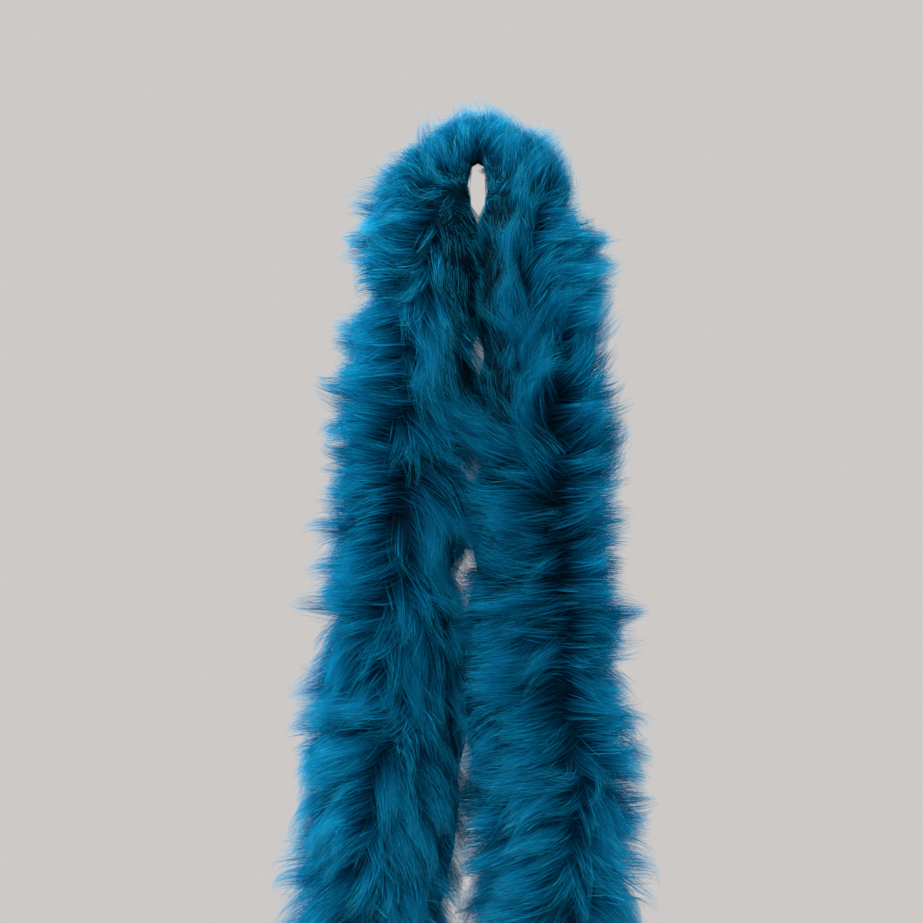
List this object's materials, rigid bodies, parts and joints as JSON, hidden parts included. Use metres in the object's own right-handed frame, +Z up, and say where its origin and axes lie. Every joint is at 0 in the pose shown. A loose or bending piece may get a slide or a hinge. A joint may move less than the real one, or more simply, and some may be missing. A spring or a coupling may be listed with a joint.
{
  "type": "feather boa",
  "caption": "Full, fluffy teal boa hanging doubled over a hook: soft plumes bound in bunches round a core cord, with whipped and knotted ends.",
  "frame": {"origin": "the point of the crown that rests on the hook, in the middle of the arch, on the underside of the pressed plumes", "axes": "+Z up, along the hanging tails; +X across the two tails, from the left one to the right one; +Y fore and aft, away from a viewer in front"},
  "size_m": [0.175, 0.082, 0.9138],
  "materials": {
    "plumes": "long silky dyed plume pile, dark at the roots and bright at the tips",
    "core_cord": "twisted three-strand cotton cord, dyed",
    "whipping_thread": "waxed polyester thread, wound close"
  },
  "bodies": {
    "crown": {"crown_top_plumes": "plumes", "crown_left_plumes": "plumes", "crown_right_plumes": "plumes", "crown_core_cord": "core_cord"},
    "left_1": {"left_plumes_01": "plumes", "left_plumes_02": "plumes", "left_plumes_03": "plumes", "left_plumes_04": "plumes", "left_core_cord_1": "core_cord"},
    "left_2": {"left_plumes_05": "plumes", "left_plumes_06": "plumes", "left_plumes_07": "plumes", "left_plumes_08": "plumes", "left_plumes_09": "plumes", "left_core_cord_2": "core_cord"},
    "left_3": {"left_plumes_10": "plumes", "left_plumes_11": "plumes", "left_plumes_12": "plumes", "left_plumes_13": "plumes", "left_core_cord_3": "core_cord"},
    "left_4": {"left_plumes_14": "plumes", "left_plumes_15": "plumes", "left_plumes_16": "plumes", "left_plumes_17": "plumes", "left_plumes_18": "plumes", "left_core_cord_4": "core_cord", "left_end_whipping": "whipping_thread", "left_end_knot": "core_cord", "left_cord_end": "core_cord"},
    "right_1": {"right_plumes_01": "plumes", "right_plumes_02": "plumes", "right_plumes_03": "plumes", "right_plumes_04": "plumes", "right_core_cord_1": "core_cord"},
    "right_2": {"right_plumes_05": "plumes", "right_plumes_06": "plumes", "right_plumes_07": "plumes", "right_plumes_08": "plumes", "right_plumes_09": "plumes", "right_core_cord_2": "core_cord"},
    "right_3": {"right_plumes_10": "plumes", "right_plumes_11": "plumes", "right_plumes_12": "plumes", "right_plumes_13": "plumes", "right_core_cord_3": "core_cord"},
    "right_4": {"right_plumes_14": "plumes", "right_plumes_15": "plumes", "right_plumes_16": "plumes", "right_plumes_17": "plumes", "right_plumes_18": "plumes", "right_core_cord_4": "core_cord", "right_end_whipping": "whipping_thread", "right_end_knot": "core_cord", "right_cord_end": "core_cord"}
  },
  "joints": [
    {"name": "left_upper_swing", "type": "hinge", "parent": "crown", "child": "left_1", "pos_m": [-0.0315, 0, -0.041], "axis": [0, 1, 0], "range_deg": [0, 35]},
    {"name": "left_upper_bend", "type": "hinge", "parent": "left_1", "child": "left_2", "pos_m": [-0.04146, 0, -0.22063], "axis": [1, 0, 0], "range_deg": [-35, 35]},
    {"name": "left_lower_swing", "type": "hinge", "parent": "left_2", "child": "left_3", "pos_m": [-0.055, 0, -0.44516], "axis": [0, 1, 0], "range_deg": [0, 35]},
    {"name": "left_lower_bend", "type": "hinge", "parent": "left_3", "child": "left_4", "pos_m": [-0.055, 0, -0.62479], "axis": [1, 0, 0], "range_deg": [-35, 35]},
    {"name": "right_upper_swing", "type": "hinge", "parent": "crown", "child": "right_1", "pos_m": [0.0315, 0, -0.041], "axis": [0, -1, 0], "range_deg": [0, 35]},
    {"name": "right_upper_bend", "type": "hinge", "parent": "right_1", "child": "right_2", "pos_m": [0.0351, 0, -0.22063], "axis": [1, 0, 0], "range_deg": [-35, 35]},
    {"name": "right_lower_swing", "type": "hinge", "parent": "right_2", "child": "right_3", "pos_m": [0.04, 0, -0.44516], "axis": [0, -1, 0], "range_deg": [0, 35]},
    {"name": "right_lower_bend", "type": "hinge", "parent": "right_3", "child": "right_4", "pos_m": [0.04, 0, -0.62479], "axis": [1, 0, 0], "range_deg": [-35, 35]}
  ]
}
